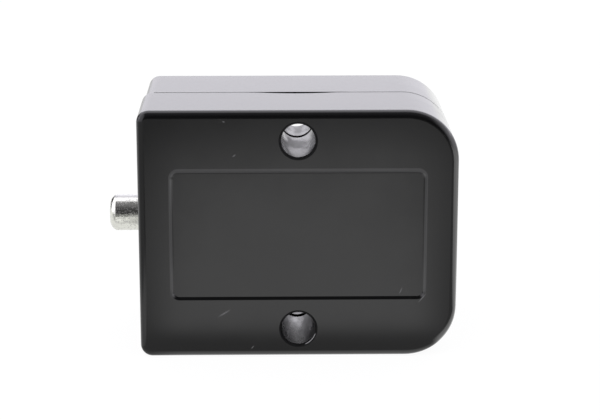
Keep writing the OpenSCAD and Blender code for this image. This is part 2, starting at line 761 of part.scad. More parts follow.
// rocker: two arms on the wheel shaft and the crossbar that the plunger carries along
module drive_rocker() {
    color(steel) translate([0, shaft_y, 0]) rotate(rest_angle) union() {
        for (z = [arm_z0, -arm_z1]) translate([0, 0, z]) linear_extrude(arm_t) difference() {
            union() {
                circle(arm_w / 2 + arm_hub);
                translate([0, -arm_w / 2]) square([rocker_r, arm_w]);
                translate([rocker_r, 0]) circle(arm_w / 2);
            }
            circle(shaft_r + run_gap);
            translate([rocker_r / 2, 0]) circle(arm_hole_r, $fn = 24);
        }
        translate([rocker_r, 0, -arm_z0 - eps]) cylinder(h = 2 * (arm_z0 + eps), r = bar_r);
    }
}

// pawl: hub at the origin, tip at len on the x axis, ratchet on the +y side
module pawl_shape(len, hub_r, pin) {
    translate([0, 0, pawl_z0]) difference() {
        union() {
            cylinder(h = pawl_t, r = hub_r);
            linear_extrude(pawl_t)
                polygon([[pawl_lift * 2, hub_r * 0.7], [len * 0.55, 0], [len, 0], [len, -pawl_tip],
                    [len * 0.6, -pawl_back], [pawl_lift * 2, -pawl_back]]);
        }
        translate([0, 0, -1]) cylinder(h = pawl_t + 2, r = pin + run_gap);
    }
}

// leaf spring that lies along the back of a pawl and grips the same pin
module pawl_leaf(len, hub_r, pin) {
    reach = len * 0.6;
    back = hub_r + 1.5 * run_gap;
    rest = pawl_back + run_gap;
    wing = leaf_hub_wall;
    translate([0, 0, pawl_z0 - leaf_drop]) linear_extrude(leaf_hub_w) difference() {
        union() {
            circle(pin + leaf_hub_wall);
            translate([-wing, -back - leaf_t]) square([2 * wing, back + leaf_t]);
        }
        circle(pin + run_gap);
    }
    translate([0, 0, pawl_z0 - leaf_drop]) linear_extrude(leaf_drop + pawl_t)
        polygon([[-wing, -back], [wing, -back], [reach, -rest], [reach, -rest - leaf_t], [wing, -back - leaf_t],
            [-wing, -back - leaf_t]]);
}

// puts a pawl part on its pin, its x axis towards the tip
module at_drive_pawl() {
    translate([rocker_r * cos(rest_angle), shaft_y + rocker_r * sin(rest_angle), 0])
        rotate(drive_tip_angle + 90) children();
}

module at_check_pawl() {
    translate([check_x, shaft_y + check_y, 0]) rotate(check_tip_angle + 90) children();
}

module drive_pawl() {
    color(steel) at_drive_pawl() pawl_shape(drive_len, drive_hub_r, bar_r);
}

module drive_pawl_spring() {
    color(brass) at_drive_pawl() pawl_leaf(drive_len, drive_hub_r, bar_r);
}

module check_pawl() {
    color(steel) at_check_pawl() pawl_shape(check_len, check_hub_r, tie_r);
}

module check_pawl_spring() {
    color(brass) at_check_pawl() pawl_leaf(check_len, check_hub_r, tie_r);
}

rear_cover();
front_cover();
window_lens();
plunger();
plunger_bush();
plunger_seal();
return_spring();
frame_plate_upper();
frame_plate_lower();
wheel_shaft();
pinion_shaft();
pawl_shaft();
tie_bar();
thrust_washers();
drive_rocker();
drive_pawl();
drive_pawl_spring();
check_pawl();
check_pawl_spring();
number_wheel_1();
number_wheel_2();
number_wheel_3();
number_wheel_4();
number_wheel_5();
number_wheel_6();
number_wheel_7();
transfer_pinion_1();
transfer_pinion_2();
transfer_pinion_3();
transfer_pinion_4();
transfer_pinion_5();
transfer_pinion_6();
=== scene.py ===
"""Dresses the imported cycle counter: finishes, wheel numbers, studio light, floor and camera.

Everything is in metres in the CAD frame: the rear mounting face lies at Y = 0 and faces -Y, the plunger
leaves the body towards -X, and +Z is up across the two screw holes.
"""

import logging
import math
from dataclasses import dataclass, field
from enum import Enum
from functools import reduce
from typing import NamedTuple

import bpy
import numpy as np
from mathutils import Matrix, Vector


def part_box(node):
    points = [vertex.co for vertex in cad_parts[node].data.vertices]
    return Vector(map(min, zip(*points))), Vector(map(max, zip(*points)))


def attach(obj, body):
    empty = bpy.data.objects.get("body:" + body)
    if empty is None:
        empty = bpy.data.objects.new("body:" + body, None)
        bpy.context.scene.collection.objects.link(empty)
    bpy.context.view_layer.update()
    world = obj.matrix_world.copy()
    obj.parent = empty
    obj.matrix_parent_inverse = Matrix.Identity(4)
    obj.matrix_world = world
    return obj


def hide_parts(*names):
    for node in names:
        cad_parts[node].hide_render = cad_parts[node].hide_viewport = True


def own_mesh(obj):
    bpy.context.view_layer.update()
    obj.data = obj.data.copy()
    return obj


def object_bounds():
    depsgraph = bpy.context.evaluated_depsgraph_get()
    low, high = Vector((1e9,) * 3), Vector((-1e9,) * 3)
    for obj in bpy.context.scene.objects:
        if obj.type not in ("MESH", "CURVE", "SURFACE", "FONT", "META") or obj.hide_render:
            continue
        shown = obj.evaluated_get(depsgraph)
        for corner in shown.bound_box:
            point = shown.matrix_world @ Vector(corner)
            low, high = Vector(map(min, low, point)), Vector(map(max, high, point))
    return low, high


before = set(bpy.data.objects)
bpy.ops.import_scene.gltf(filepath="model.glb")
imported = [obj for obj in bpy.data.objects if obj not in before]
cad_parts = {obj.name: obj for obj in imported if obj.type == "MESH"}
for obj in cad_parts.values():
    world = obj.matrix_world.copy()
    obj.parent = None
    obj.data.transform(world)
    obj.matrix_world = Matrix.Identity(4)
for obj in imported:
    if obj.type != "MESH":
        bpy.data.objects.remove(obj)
CAD_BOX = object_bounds()
MM = 0.001
LOG = logging.getLogger("cycle_counter")

Socket = bpy.types.NodeSocket
Triple = tuple[float, float, float]
Limits = tuple[float, float]


class Ray(Enum):
    """Kinds of ray that the floor and the world answer in their own way."""

    CAMERA = "Is Camera Ray"
    GLOSS = "Is Glossy Ray"
    GLASS = "Is Transmission Ray"


class Mix(Enum):
    """Kinds of Mix node: data type, the numbers of the inputs for both values, and that of the output."""

    VALUE = ("FLOAT", 2, 3, 0)
    COLOUR = ("RGBA", 6, 7, 2)


class Spot(NamedTuple):
    """The three coordinates of the shaded point, each a socket."""

    x: Socket
    y: Socket
    z: Socket


class NodeSheet:
    """A node tree with short calls for adding and joining nodes."""

    def __init__(self, tree: bpy.types.NodeTree) -> None:
        """Takes the tree that is written to.

        Args:
            tree: a material's, world's or group's node tree.
        """
        self.tree = tree

    def add(self, kind: str, **settings: object) -> bpy.types.Node:
        """Adds one node.

        Args:
            kind: the node type's identifier.
            settings: attributes set on the node.

        Returns:
            The new node.
        """
        node = self.tree.nodes.new(kind)
        for key, value in settings.items():
            setattr(node, key, value)
        return node

    def feed(self, node: bpy.types.Node, name: str | int, value: object) -> None:
        """Links an output to an input, or sets the input's own value.

        Args:
            node: the node that is fed.
            name: the input's name or number.
            value: an output socket, or a plain value.
        """
        if isinstance(value, Socket):
            self.tree.links.new(value, node.inputs[name])
        else:
            node.inputs[name].default_value = value

    def math(self, operation: str, a: object, b: object = 0.0) -> Socket:
        """Adds a Math node.

        Args:
            operation: the Math operation.
            a: first value or socket.
            b: second value or socket.

        Returns:
            The result socket.
        """
        node = self.add("ShaderNodeMath", operation=operation)
        self.feed(node, 0, a)
        self.feed(node, 1, b)
        return node.outputs[0]

    def total(self, *values: object) -> Socket:
        """Adds values one after the other."""
        return reduce(lambda a, b: self.math("ADD", a, b), values)

    def product(self, *values: object) -> Socket:
        """Multiplies values one after the other."""
        return reduce(lambda a, b: self.math("MULTIPLY", a, b), values)

    def under(self, value: object, limit: object) -> Socket:
        """Masks where a value is less than a limit."""
        return self.math("LESS_THAN", value, limit)

    def over(self, value: object, limit: object) -> Socket:
        """Masks where a value is more than a limit."""
        return self.math("GREATER_THAN", value, limit)

    def apart(self, value: object, middle: object) -> Socket:
        """Gives how far a value lies from a middle, without its sign."""
        return self.math("ABSOLUTE", self.math("SUBTRACT", value, middle))

    def distance(self, a: object, b: object) -> Socket:
        """Gives the root of the sum of two squares."""
        return self.math("SQRT", self.total(self.math("POWER", a, 2.0), self.math("POWER", b, 2.0)))

    def span(self, value: object, low: object, high: object, to_low: object, to_high: object) -> Socket:
        """Adds a smooth Map Range node.

        Args:
            value: the value that is mapped.
            low: start of the source range.
            high: end of the source range.
            to_low: result at the start.
            to_high: result at the end.

        Returns:
            The result socket.
        """
        node = self.add("ShaderNodeMapRange", interpolation_type="SMOOTHSTEP")
        names = ("Value", "From Min", "From Max", "To Min", "To Max")
        for name, given in zip(names, (value, low, high, to_low, to_high)):
            self.feed(node, name, given)
        return node.outputs["Result"]

    def rise(self, value: object, limits: Limits) -> Socket:
        """Steps smoothly from 0 at the first limit to 1 at the second."""
        return self.span(value, *limits, 0.0, 1.0)

    def fall(self, value: object, limits: Limits) -> Socket:
        """Steps smoothly from 1 at the first limit to 0 at the second."""
        return self.span(value, *limits, 1.0, 0.0)

    def within(self, mask: object, outside: object, inside: object) -> Socket:
        """Gives one value where a mask is 0 and another where it is 1."""
        return self.span(mask, 0.0, 1.0, outside, inside)

    def zone(self, level: object, own: object, *edges: Socket) -> Socket:
        """Gives a zone its own level where all its edges' masks are 1, and keeps the level elsewhere."""
        return self.within(self.product(*edges), level, own)

    def lean(self, value: object, other: object, slant: float) -> Socket:
        """Adds a share of one coordinate to another, which slants the lines where it is constant."""
        return self.total(value, self.product(other, slant))

    def mix(self, kind: Mix, mask: object, a: object, b: object) -> Socket:
        """Mixes two values or two colours.

        Args:
            kind: which of both.
            mask: share of the second one.
            a: the first one.
            b: the second one.

        Returns:
            The result socket.
        """
        data_type, first, second, result = kind.value
        node = self.add("ShaderNodeMix", data_type=data_type)
        for number, given in ((0, mask), (first, a), (second, b)):
            self.feed(node, number, given)
        return node.outputs[result]

    def blend(self, mask: object, a: object, b: Triple) -> Socket:
        """Mixes a second colour into a first one, which is a colour or a socket that gives it."""
        first = a if isinstance(a, Socket) else (*a, 1.0)
        return self.mix(Mix.COLOUR, mask, first, (*b, 1.0))

    def noise(self, vector: object, scale: object, detail: float = 2.0, rough: float = 0.5) -> Socket:
        """Adds a Noise Texture.

        Args:
            vector: its coordinates.
            scale: its scale in turns per metre.
            detail: octaves.
            rough: weight of the octaves.

        Returns:
            The noise value, between 0 and 1.
        """
        node = self.add("ShaderNodeTexNoise")
        for name, given in (("Vector", vector), ("Scale", scale), ("Detail", detail), ("Roughness", rough)):
            self.feed(node, name, given)
        return node.outputs[0]

    def place(self) -> Socket:
        """Gives the Object coordinates."""
        return self.add("ShaderNodeTexCoord").outputs["Object"]

    def split(self, vector: object) -> Spot:
        """Separates a vector into its three coordinates.

        Args:
            vector: the vector.

        Returns:
            The coordinates.
        """
        node = self.add("ShaderNodeSeparateXYZ")
        self.feed(node, 0, vector)
        return Spot(*node.outputs)

    def stretched(self, vector: object, scale: Triple) -> Socket:
        """Scales coordinates along each axis.

        Args:
            vector: the coordinates.
            scale: one factor per axis.

        Returns:
            The scaled coordinates.
        """
        node = self.add("ShaderNodeMapping")
        self.feed(node, "Vector", vector)
        self.feed(node, "Scale", scale)
        return node.outputs[0]

    def rays(self) -> tuple[Socket, Socket]:
        """Masks the camera's own rays, and those that gloss and glass send on."""
        path = self.add("ShaderNodeLightPath").outputs
        return path[Ray.CAMERA.value], self.math("MAXIMUM", path[Ray.GLOSS.value], path[Ray.GLASS.value])


class SharedEffects:
    """Shader node groups that several finishes use, each built once."""

    patch_height = 0.3
    hair_stretch = (1.0, 1.0, 3.7)
    break_scale = 2.3
    break_gain = 1.4

    def __init__(self) -> None:
        """Builds every group."""
        self.grain = self._grain()
        self.scratches = self._scratches()
        self.nick = self._nick()

    @staticmethod
    def _start(name: str, ins: dict[str, float], outs: tuple[str, ...]) -> tuple[NodeSheet, bpy.types.Node]:
        """Starts a group with a vector input, float inputs and float outputs.

        Args:
            name: the group's name.
            ins: input names and their values.
            outs: output names.

        Returns:
            The group's sheet and the node that gives its inputs.
        """
        group = bpy.data.node_groups.new(name, "ShaderNodeTree")
        group.interface.new_socket("Vector", in_out="INPUT", socket_type="NodeSocketVector")
        for title, value in ins.items():
            socket = group.interface.new_socket(title, in_out="INPUT", socket_type="NodeSocketFloat")
            socket.default_value = value
        for title in outs:
            group.interface.new_socket(title, in_out="OUTPUT", socket_type="NodeSocketFloat")
        sheet = NodeSheet(group)
        return sheet, sheet.add("NodeGroupInput")

    @staticmethod
    def _end(sheet: NodeSheet, **results: Socket) -> bpy.types.NodeTree:
        """Feeds a group's outputs.

        Args:
            sheet: the group's sheet.
            results: what each output gives.

        Returns:
            The finished group.
        """
        output = sheet.add("NodeGroupOutput")
        for title, value in results.items():
            sheet.feed(output, title, value)
        return sheet.tree

    def _grain(self) -> bpy.types.NodeTree:
        """Fine moulded or ground grain: two noises of different scale, added.

        Returns:
            The group, with Height and Patch outputs.
        """
        values = {"Scale": 4000.0, "Patch Scale": 120.0}
        sheet, given = self._start("fine_grain", values, ("Height", "Patch"))
        place = given.outputs["Vector"]
        fine = sheet.noise(place, given.outputs["Scale"], detail=3.0, rough=0.6)
        patch = sheet.noise(place, given.outputs["Patch Scale"], detail=3.0, rough=0.55)
        height = sheet.total(fine, sheet.product(patch, self.patch_height))
        return self._end(sheet, Height=height, Patch=patch)

    def _scratches(self) -> bpy.types.NodeTree:
        """Sparse hairline scratches: the thin level lines of a stretched noise, broken up by a second one.

        Returns:
            The group, with a Mask output.
        """
        values = {"Scale": 90.0, "Width": 0.004, "Share": 0.3}
        sheet, given = self._start("hairline_scratches", values, ("Mask",))
        place, scale = given.outputs["Vector"], given.outputs["Scale"]
        level = sheet.noise(sheet.stretched(place, self.hair_stretch), scale, detail=1.0, rough=0.4)
        line = sheet.fall(sheet.apart(level, 0.5), (0.0, given.outputs["Width"]))
        broken = sheet.noise(place, sheet.product(scale, self.break_scale))
        limit = sheet.math("SUBTRACT", 1.0, given.outputs["Share"])
        kept = sheet.over(sheet.product(broken, self.break_gain), limit)
        return self._end(sheet, Mask=sheet.product(line, kept))

    def _nick(self) -> bpy.types.NodeTree:
        """One short scratch on a face that lies along X and Z.

        The point is turned into the scratch's own frame. The mask is 1 in the scratch's middle, and fades to
        0 at half the length along it and at the width to either side.

        Returns:
            The group, with a Mask output.
        """
        values = {"Centre X": 0.0, "Centre Z": 0.0, "Angle": 0.0, "Half Length": 0.001, "Width": 0.0002}
        sheet, node = self._start("single_nick", values, ("Mask",))
        given = node.outputs
        at = sheet.split(given["Vector"])
        dx = sheet.math("SUBTRACT", at.x, given["Centre X"])
        dz = sheet.math("SUBTRACT", at.z, given["Centre Z"])
        cos = sheet.math("COSINE", given["Angle"])
        sin = sheet.math("SINE", given["Angle"])
        along = sheet.total(sheet.product(dx, cos), sheet.product(dz, sin))
        across = sheet.math("SUBTRACT", sheet.product(dz, cos), sheet.product(dx, sin))
        near = sheet.fall(sheet.math("ABSOLUTE", across), (0.0, given["Width"]))
        ends = sheet.fall(sheet.math("ABSOLUTE", along), (0.0, given["Half Length"]))
        return self._end(sheet, Mask=sheet.product(near, ends))

    @staticmethod
    def use(sheet: NodeSheet, group: bpy.types.NodeTree, vector: object, **values: float) -> bpy.types.Node:
        """Places a group in a material.

        Args:
            sheet: the material's sheet.
            group: the group.
            vector: its coordinates.
            values: values of its other inputs, with _ for a blank in the name.

        Returns:
            The group node.
        """
        node = sheet.add("ShaderNodeGroup", node_tree=group)
        sheet.feed(node, "Vector", vector)
        for name, value in values.items():
            sheet.feed(node, name.replace("_", " "), value)
        return node


EFFECTS = SharedEffects()


def new_material(name: str) -> tuple[bpy.types.Material, NodeSheet, bpy.types.Node]:
    """Starts a material with one Principled shader.

    Args:
        name: the material's name.

    Returns:
        The material, its sheet and its shader.
    """
    material = bpy.data.materials.new(name)
    material.use_nodes = True
    material.node_tree.nodes.clear()
    sheet = NodeSheet(material.node_tree)
    shader = sheet.add("ShaderNodeBsdfPrincipled")
    output = sheet.add("ShaderNodeOutputMaterial")
    sheet.feed(output, "Surface", shader.outputs[0])
    return material, sheet, shader


def add_bump(sheet: NodeSheet, shader: bpy.types.Node, height: object, depth: float) -> None:
    """Feeds a height into the shader's normal.

    Args:
        sheet: the material's sheet.
        shader: its shader.
        height: the height, about 0 to 1.
        depth: the depth in metres that a height of 1 stands for.
    """
    bump = sheet.add("ShaderNodeBump")
    for name, given in (("Height", height), ("Distance", depth), ("Strength", 1.0)):
        sheet.feed(bump, name, given)
    sheet.feed(shader, "Normal", bump.outputs[0])


@dataclass(frozen=True)
class Nick:
    """One scratch on the rear face: centre, length, width in millimetres and slope in degrees."""

    x: float
    z: float
    length: float
    slope: float
    width: float = 0.16


@dataclass
class CoverMasks:
    """Where wear, the dusty seam, dull spots, painted highlights and painted shade lie on the moulded covers,
    each as a mask between 0 and 1.

    Depths are measured from the rear face along Y, and limits are where a mask fades in or out.
    """

    sheet: NodeSheet
    place: Socket
    nicks: tuple[Nick, ...]
    face_depth: float = 0.03 * MM
    panel_half: Limits = (25.35 * MM, 13.25 * MM)
    panel_depth: float = 0.5 * MM
    slope_width: float = 0.6 * MM
    slope_foot: float = 0.2 * MM
    lower_shade_limits: Limits = (0.51 * MM, 0.69 * MM)
    rim_width: Limits = (0.28 * MM, 0.55 * MM)
    rim_round: float = 2.0 * MM
    rim_fade: float = 0.1 * MM
    rim_rise: float = 3.0 * MM
    arc_radius: float = 3.56 * MM
    arc_limits: Limits = (0.048 * MM, 0.08 * MM)
    arc_turn: float = 42.0
    arc_cosines: Limits = (0.89, 0.94)
    arc_depth: float = 0.6 * MM
    tube_z: float = 19.3 * MM
    tube_radius: float = 5.6 * MM
    tube_limits: Limits = (0.3 * MM, 0.8 * MM)
    lip_radii: Limits = (3.3 * MM, 3.86 * MM)
    lip_limits: Limits = (0.3 * MM, 0.9 * MM)
    seam_y: float = 19.0 * MM
    seam_half: float = 0.16 * MM
    seam_limits: Limits = (17.0 * MM, 24.6 * MM)
    dip_limits: Limits = (7.2 * MM, 11.7 * MM)
    hair_share: float = 0.04
    at: Spot = field(init=False)

    def __post_init__(self) -> None:
        """Separates the Object coordinates once for all masks."""
        self.at = self.sheet.split(self.place)

    def around(self, reach: float) -> Socket:
        """Masks what lies within the panel's outline, moved outwards.

        Args:
            reach: how far it is moved, in metres.

        Returns:
            The mask.
        """
        sides = zip((self.at.x, self.at.z), self.panel_half)
        offs = [self.sheet.under(self.sheet.math("ABSOLUTE", value), half + reach) for value, half in sides]
        return self.sheet.product(*offs)

    def faces(self) -> Socket:
        """Masks the flat of the rear face and the floor of its panel, without their edges.

        Returns:
            The mask.
        """
        sheet, depth = self.sheet, self.at.y
        sunk = sheet.product(sheet.under(depth, self.panel_depth), self.around(0.0))
        return sheet.math("MAXIMUM", sheet.under(depth, self.face_depth), sunk)

    def lower_shade(self) -> Socket:
        """Masks the lower slope of the panel and the hole's lip below it, which are painted near black as
        painted shade.

        Returns:
            The mask.
        """
        sheet, at = self.sheet, self.at
        across, up = self.panel_half
        low = sheet.fall(sheet.total(at.z, up), self.lower_shade_limits)
        along = sheet.under(sheet.math("ABSOLUTE", at.x), across)
        sunk = sheet.over(at.y, self.face_depth)
        return sheet.product(low, along, sunk, sheet.under(at.y, self.panel_depth))

    def slopes(self) -> Socket:
        """Masks the slopes round the panel, which are painted paler as a painted highlight.

        Returns:
            The mask.
        """
        sheet, depth = self.sheet, self.at.y
        sunk = sheet.product(sheet.over(depth, self.face_depth), sheet.under(depth, self.slope_foot))
        return sheet.product(sunk, self.around(self.slope_width))

    def rim(self) -> Socket:
        """Masks a rim on the rear face, above the panel and beside it, painted paler as a painted highlight.

        A point is inside when its distance past the straight sides of a round-cornered rectangle, a little
        wider than the slopes, is under the corner's radius. The slopes themselves lie deeper than the face.

        Returns:
            The mask.
        """
        sheet, at = self.sheet, self.at
        across, up = (half + wide - self.rim_round for half, wide in zip(self.panel_half, self.rim_width))
        past_x = sheet.math("SUBTRACT", sheet.math("ABSOLUTE", at.x), across)
        past_z = sheet.math("SUBTRACT", at.z, up)
        past = sheet.distance(sheet.math("MAXIMUM", past_x), sheet.math("MAXIMUM", past_z))
        inside = sheet.fall(past, (self.rim_round - self.rim_fade, self.rim_round))
        foot = -self.panel_half[1]
        high = sheet.rise(at.z, (foot, foot + self.rim_rise))
        return sheet.product(inside, sheet.under(at.y, self.face_depth), high)

    def arc(self) -> Socket:
        """Masks a painted highlight: a bright arc at the lower right of the lower hole's lip.

        The arc is where the distance from the hole's axis is near one radius, and where the cosine of the
        angle between the way there and the arc's own slope downwards, arc_turn degrees, is high.

        Returns:
            The mask.
        """
        sheet, at = self.sheet, self.at
        away = self.from_axis()
        thin = sheet.fall(sheet.apart(away, self.arc_radius), self.arc_limits)
        turn = math.radians(self.arc_turn)
        right = sheet.product(at.x, math.cos(turn))
        down = sheet.product(sheet.total(at.z, self.tube_z), math.sin(turn))
        cosine = sheet.math("DIVIDE", sheet.math("SUBTRACT", right, down), away)
        lower = sheet.product(sheet.under(at.z, 0.0), sheet.under(at.y, self.arc_depth))
        return sheet.product(thin, sheet.rise(cosine, self.arc_cosines), lower)

    def seam_dust_and_light(self) -> Socket:
        """Masks the seam along the top, apart from the dip in its middle: a dusty seam, and painted light
        that lifts the seam's shade.

        Returns:
            The mask.
        """
        sheet, at = self.sheet, self.at
        near = sheet.under(sheet.apart(at.y, self.seam_y), self.seam_half)
        aside = sheet.rise(sheet.math("ABSOLUTE", at.x), self.dip_limits)
        return sheet.product(near, sheet.rise(at.z, self.seam_limits), aside)

    def from_axis(self) -> Socket:
        """Gives the distance in metres from the nearer screw tube's axis."""
        up = self.sheet.math("SUBTRACT", self.sheet.math("ABSOLUTE", self.at.z), self.tube_z)
        return self.sheet.distance(self.at.x, up)

    def lips(self) -> Socket:
        """Masks the rounded lips of the holes in the rear face, which are dull.

        Returns:
            The mask.
        """
        sheet, away = self.sheet, self.from_axis()
        inner, outer = self.lip_radii
        ring = sheet.product(sheet.over(away, inner), sheet.under(away, outer))
        return sheet.product(ring, sheet.fall(self.at.y, self.lip_limits))

    def tubes(self) -> Socket:
        """Masks the inside of the screw tubes: near their axis and deeper than the rear face."""
        inside = self.sheet.under(self.from_axis(), self.tube_radius)
        return self.sheet.product(inside, self.sheet.rise(self.at.y, self.tube_limits))

    def scratches(self) -> Socket:
        """Masks the hairlines everywhere and the single scratches on the rear face.

        Returns:
            The mask.
        """
        sheet, place = self.sheet, self.place
        hair = EFFECTS.use(sheet, EFFECTS.scratches, place, Scale=70.0, Width=0.0035, Share=0.2)
        worn = sheet.product(hair.outputs[0], self.hair_share)
        near = sheet.under(self.at.y, self.panel_depth)
        for nick in self.nicks:
            mark = EFFECTS.use(sheet, EFFECTS.nick, place, Centre_X=nick.x * MM, Centre_Z=nick.z * MM,
                               Angle=math.radians(nick.slope), Half_Length=nick.length / 2 * MM,
                               Width=nick.width * MM)
            worn = sheet.math("MAXIMUM", worn, sheet.product(mark.outputs[0], near))
        return worn


@dataclass(frozen=True)
class MouldedPlastic:
    """Black plastic with a fine mould grain, rougher in the screw tubes, with scratches on the rear face."""

    nicks: tuple[Nick, ...] = ()
    ior: float = 1.53
    colour: Triple = (0.0025, 0.0025, 0.0026)
    patch_colour: Triple = (0.003125, 0.003125, 0.00325)
    # painted highlight: colour of the panel's slopes and of the rim above and beside it
    panel_highlight_colour: Triple = (0.042, 0.042, 0.042)
    # painted shade: colour of the panel's lower slope and the lip below it
    lower_shade_colour: Triple = (0.001, 0.001, 0.001)
    # pale colour of the seam: a dusty seam, and painted light that lifts its shade
    seam_dust_and_light_colour: Triple = (0.32, 0.32, 0.325)
    # painted highlight: colour of the bright arc on the lower hole's lip
    lip_glint_colour: Triple = (0.36, 0.36, 0.36)
    scratch_colour: Triple = (0.16, 0.16, 0.16)
    rim_share: float = 0.8
    roughness: float = 0.16
    face_roughness: float = 0.2
    tube_roughness: float = 0.28
    lip_roughness: float = 0.85
    scratch_roughness: float = 0.3
    patch_roughness: float = 0.02
    patch_limits: Limits = (0.3, 0.7)
    blotch_scale: Triple = (330.0, 120.0, 330.0)
    blotch_limits: Limits = (0.36, 0.64)
    blotch_roughness: float = 0.09
    grain_scale: float = 5200.0
    patch_scale: float = 95.0
    grain_depth: float = 0.0000006
    scratch_height: float = 6.0

    def shade(self, masks: CoverMasks, patch: Socket, worn: Socket) -> Socket:
        """Lays the colours of wear, the dusty seam, painted highlights and painted shade over the black
        plastic.

        Args:
            masks: where they lie.
            patch: the grain's patches.
            worn: the mask of all scratches.

        Returns:
            The colour.
        """
        sheet = masks.sheet
        base = sheet.blend(sheet.rise(patch, self.patch_limits), self.colour, self.patch_colour)
        # painted highlight: the panel's slopes and the rim above and beside it are painted paler
        highlit = sheet.math("MAXIMUM", masks.slopes(), sheet.product(masks.rim(), self.rim_share))
        base = sheet.blend(highlit, base, self.panel_highlight_colour)
        # painted shade: the panel's lower slope and the lip below it are painted near black
        base = sheet.blend(masks.lower_shade(), base, self.lower_shade_colour)
        # the dusty seam, and painted light that lifts the seam's shade
        base = sheet.blend(masks.seam_dust_and_light(), base, self.seam_dust_and_light_colour)
        # painted highlight: a bright arc on the lower hole's lip
        base = sheet.blend(masks.arc(), base, self.lip_glint_colour)
        return sheet.blend(worn, base, self.scratch_colour)

    def dull(self, masks: CoverMasks, patch: Socket, worn: Socket) -> Socket:
        """Adds up the roughness of the faces, the tubes, the lips, the scratches and the patches.

        Args:
            masks: where they lie.
            patch: the grain's patches.
            worn: the mask of all scratches.

        Returns:
            The roughness.
        """
        sheet = masks.sheet
        streaks = sheet.noise(sheet.stretched(masks.place, self.blotch_scale), 1.0)
        blotch = sheet.span(streaks, *self.blotch_limits, -self.blotch_roughness, self.blotch_roughness)
        deeper = sheet.total(self.tube_roughness - self.roughness, blotch)
        return sheet.total(
            self.roughness,
            sheet.product(masks.faces(), self.face_roughness - self.roughness),
            sheet.product(worn, self.scratch_roughness),
            sheet.product(masks.tubes(), deeper),
            sheet.product(masks.lips(), self.lip_roughness),
            sheet.span(patch, *self.patch_limits, -self.patch_roughness, self.patch_roughness),
        )

    def build(self, name: str) -> bpy.types.Material:
        """Makes the material.

        Args:
            name: its name.

        Returns:
            The material.
        """
        material, sheet, shader = new_material(name)
        place = sheet.place()
        grain = EFFECTS.use(sheet, EFFECTS.grain, place, Scale=self.grain_scale,
                            Patch_Scale=self.patch_scale)
        masks = CoverMasks(sheet, place, self.nicks)
        patch, worn = grain.outputs["Patch"], masks.scratches()
        sheet.feed(shader, "Base Color", self.shade(masks, patch, worn))
        sheet.feed(shader, "Roughness", self.dull(masks, patch, worn))
        cut = sheet.product(worn, self.scratch_height)
        add_bump(sheet, shader, sheet.math("SUBTRACT", grain.outputs["Height"], cut), self.grain_depth)
        sheet.feed(shader, "IOR", self.ior)
        return material


@dataclass(frozen=True)
class TurnedMetal:
    """Ground or turned metal with fine rings round one axis and small dull pits."""

    colour: Triple = (0.8, 0.805, 0.74)
    dull_colour: Triple = (0.68, 0.67, 0.66)
    dull_share: float = 0.5
    roughness: float = 0.1
    ring_scale: Triple = (9000.0, 350.0, 350.0)
    ring_depth: float = 0.0000022
    ring_limits: Limits = (0.3, 0.7)
    ring_roughness: Limits = (-0.03, 0.05)
    pit_scale: float = 1900.0
    pit_share: float = 0.35
    pit_edge: Limits = (-0.12, 0.1)
    pit_roughness: float = 0.2
    pit_height: float = 2.4
    grain_height: float = 0.5
    # painted shade: a faint grey band along the top of the metal
    top_shade_z: float | None = None
    top_shade_fade: float = 0.12 * MM
    top_shade_wander: float = 0.06 * MM
    top_shade_colour: Triple = (0.4, 0.4, 0.395)

    def top_shade(self, sheet: NodeSheet, place: object, pits: object) -> Socket:
        """Masks painted shade: a faint grey band along the top of the metal, with an uneven edge.

        Args:
            sheet: the material's sheet.
            place: the Object coordinates.
            pits: the pits' noise, which makes the edge uneven.

        Returns:
            The mask.
        """
        high = sheet.total(sheet.split(place).z, sheet.product(pits, self.top_shade_wander))
        return sheet.rise(high, (self.top_shade_z, self.top_shade_z + self.top_shade_fade))

    def build(self, name: str) -> bpy.types.Material:
        """Makes the material.

        Args:
            name: its name.

        Returns:
            The material.
        """
        material, sheet, shader = new_material(name)
        place = sheet.place()
        rings = sheet.noise(sheet.stretched(place, self.ring_scale), 1.0, rough=0.6)
        pits = sheet.noise(place, self.pit_scale, detail=3.0, rough=0.6)
        dull = sheet.rise(pits, [1.0 - self.pit_share + edge for edge in self.pit_edge])
        grain = EFFECTS.use(sheet, EFFECTS.grain, place, Scale=6000.0, Patch_Scale=300.0)
        hair = EFFECTS.use(sheet, EFFECTS.scratches, place, Scale=260.0, Width=0.006, Share=0.35)
        mask = sheet.product(sheet.math("MAXIMUM", dull, hair.outputs[0]), self.dull_share)
        bare = sheet.blend(mask, self.colour, self.dull_colour)
        # painted shade: a faint grey band along the top of the metal
        if self.top_shade_z is not None:
            bare = sheet.blend(self.top_shade(sheet, place, pits), bare, self.top_shade_colour)
        sheet.feed(shader, "Base Color", bare)
        rough = sheet.total(self.roughness, sheet.product(dull, self.pit_roughness))
        ringed = sheet.span(rings, *self.ring_limits, *self.ring_roughness)
        sheet.feed(shader, "Roughness", sheet.total(rough, ringed))
        height = sheet.total(rings, sheet.product(grain.outputs["Height"], self.grain_height))
        height = sheet.math("SUBTRACT", height, sheet.product(dull, self.pit_height))
        add_bump(sheet, shader, height, self.ring_depth)
        sheet.feed(shader, "Metallic", 1.0)
        return material


